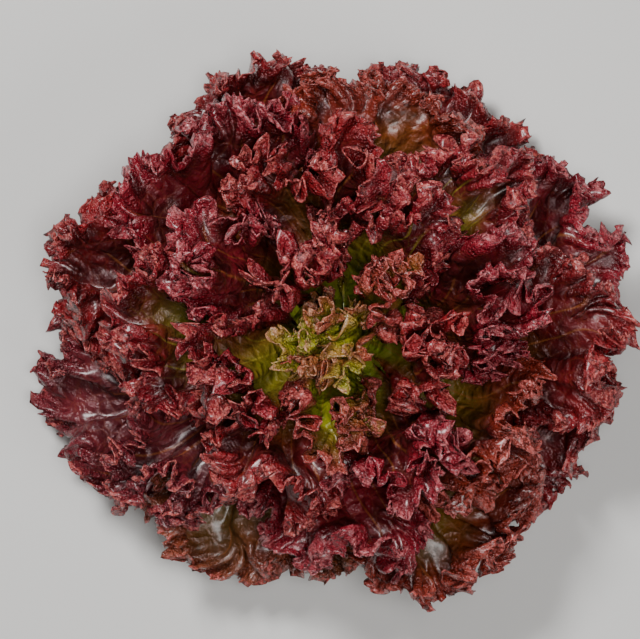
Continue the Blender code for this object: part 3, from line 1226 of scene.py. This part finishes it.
@dataclass
class Stem:
    """The stem, finely turned, with shallow grooves down its side and a slightly sunken cut face."""

    head: Head
    cut_radius: float = 0.0155
    cut_edge: float = 0.0015
    neck_steps: Pair = (0.35, 0.7)
    edge_steps: tuple[Pair, ...] = ((0.6, 1.0), (0.3, 0.35), (0.0, 0.0))
    face_start: float = 0.97
    sink_from: Pair = (0.02, 0.25)
    columns: int = 144
    dome_points: int = 40
    face_points: int = 14
    grooves: int = 13
    groove_depth: float = 0.00035
    sunken: float = 0.0006
    grain: Grain = Grain(5)
    grain_radius: float = 0.01
    grain_size: float = 0.004
    grain_height: float = 0.0002
    smooth_radius: float = 0.006
    finish: StemFinish = StemFinish()

    def profile(self) -> tuple[Array, Array, Array]:
        """The outline from the dome's top to the middle of the cut.

        Returns:
            The radius, the height and the share of cut face at each point.
        """
        head = self.head
        angle = np.radians(np.linspace(90.0, 0.0, self.dome_points))
        r = list(head.stem_radius * np.cos(angle))
        z = list(head.stem_shoulder + head.stem_dome * np.sin(angle))
        edge = [(self.cut_radius + out * self.cut_edge, up * self.cut_edge) for out, up in self.edge_steps]
        for share in self.neck_steps:
            r.append(between((head.stem_radius, edge[0][0]), share))
            z.append(between((head.stem_shoulder, edge[0][1]), share))
        r += [radius for radius, _ in edge]
        z += [height for _, height in edge]
        side = len(r)
        inner = np.linspace(self.face_start, 0.0, self.face_points)
        r += list(self.cut_radius * inner)
        z += list(self.sunken * eased(1.0 - inner, *self.sink_from))
        cut = np.zeros(len(r))
        cut[side - 1:] = 1.0
        return np.array(r), np.array(z), cut

    def build(self) -> None:
        """Builds and dresses the stem."""
        r, z, cut = self.profile()
        angles = np.linspace(0.0, math.tau, self.columns, endpoint=False)
        rows, radii, shares = [], [], []
        for ring_r, ring_z, ring_cut in zip(r, z, cut):
            height = np.full_like(angles, ring_z)
            place = round_axis(self.grain_radius, angles, height)
            rough = self.grain.at(place, self.grain_size) * self.grain_height * (1.0 - ring_cut)
            groove = self.groove_depth * (np.cos(self.grooves * angles) - 1.0) * (1.0 - ring_cut)
            radius = np.maximum(ring_r + (rough + groove) * min(1.0, ring_r / self.smooth_radius), 1e-5)
            rows.append(round_axis(radius, angles, height))
            radii.append(np.full_like(angles, ring_r / MM))
            shares.append(np.full_like(angles, ring_cut))
        i = np.arange(self.columns)
        j = (i + 1) % self.columns
        faces = []
        for n in range(len(r) - 1):
            low, high = n * self.columns, (n + 1) * self.columns
            faces.append(np.stack([low + i, high + i, high + j], 1))
            faces.append(np.stack([low + i, high + j, low + j], 1))
        values = {"radius": np.concatenate(radii), "cut": np.concatenate(shares)}
        mesh = Sheet(np.concatenate(rows), np.concatenate(faces), values).mesh("turned_stem")
        stem = placed("turned_stem", mesh)
        stem.data.materials.append(self.finish.build())
        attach(stem, "root")
        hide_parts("stem")
        log.info("%s: %d faces", stem.name, len(mesh.polygons))


@dataclass(frozen=True)
class Lamp:
    """A square area light that looks at the head."""

    name: str
    place: Triple
    size: float
    power: float
    aim: Triple = (0.0, 0.0, 0.06)

    def build(self) -> None:
        """Hangs the light."""
        data = bpy.data.lights.new(self.name, "AREA")
        data.size = self.size
        data.energy = self.power
        lamp = placed(self.name, data)
        lamp.location = self.place
        lamp.rotation_euler = (Vector(self.aim) - lamp.location).to_track_quat("-Z", "Y").to_euler()


@dataclass
class Studio:
    """A pale floor, soft lights and a camera that looks straight down."""

    floor_size: float = 6.0
    floor_colour: Triple = (0.72, 0.71, 0.69)
    image_size: tuple[int, int] = (640, 639)
    centre_px: Pair = (330.0, 327.0)
    length_px: float = 602.0
    length: float = 0.250
    focus_height: float = 0.045
    camera_height: float = 1.20
    sensor: float = 36.0
    lamps: tuple[Lamp, ...] = (
        Lamp("key_light", (-0.45, 0.65, 1.20), 0.30, 17.6),
        Lamp("top_light", (0.12, -0.05, 1.35), 0.40, 8.5),
        Lamp("fill_light", (0.80, -0.60, 0.95), 0.60, 4.6),
    )
    air_colour: tuple[float, float, float, float] = (1.0, 0.90, 0.84, 1.0)
    air_strength: float = 0.041

    def floor(self) -> None:
        """The floor that the head rests on."""
        bpy.ops.mesh.primitive_grid_add(x_subdivisions=8, y_subdivisions=8, size=self.floor_size)
        floor = bpy.context.object
        floor.name = "floor"
        board = Board("floor_finish")
        shade = board.mixed(board.noise(3.0), self.floor_colour, tuple(0.97 * c for c in self.floor_colour))
        board.dress({"Base Color": shade, "Roughness": 0.85})
        floor.data.materials.append(board.material)

    def camera(self) -> None:
        """The camera, placed so that the head fills the image as it should."""
        data = bpy.data.cameras.new("camera")
        per_px = self.length / self.length_px
        width = self.image_size[0] * per_px
        data.sensor_width = self.sensor
        data.lens = self.sensor * (self.camera_height - self.focus_height) / width
        data.clip_end = 20.0
        camera = placed("camera", data)
        middle = [(low + high) / 2 for low, high in zip(*CAD_BOX)]
        right = (self.image_size[0] / 2 - self.centre_px[0]) * per_px
        up = (self.centre_px[1] - self.image_size[1] / 2) * per_px
        camera.location = (middle[0] + right, middle[1] + up, self.camera_height)
        bpy.context.scene.camera = camera

    def build(self) -> None:
        """Sets the whole stage."""
        self.camera()
        self.floor()
        for lamp in self.lamps:
            lamp.build()
        world = bpy.data.worlds.new("soft_studio")
        world.use_nodes = True
        background = world.node_tree.nodes["Background"]
        background.inputs["Color"].default_value = self.air_colour
        background.inputs["Strength"].default_value = self.air_strength
        bpy.context.scene.world = world


def main() -> None:
    """Builds the stage and the head, piece by piece."""
    logging.basicConfig(level=logging.INFO, format="%(message)s")
    Studio().build()
    spiral = Spiral(Head())
    Leaves(spiral).build()
    Heart(spiral).build()
    Stem(spiral.head).build()
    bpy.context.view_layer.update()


if __name__ == "__main__":
    main()
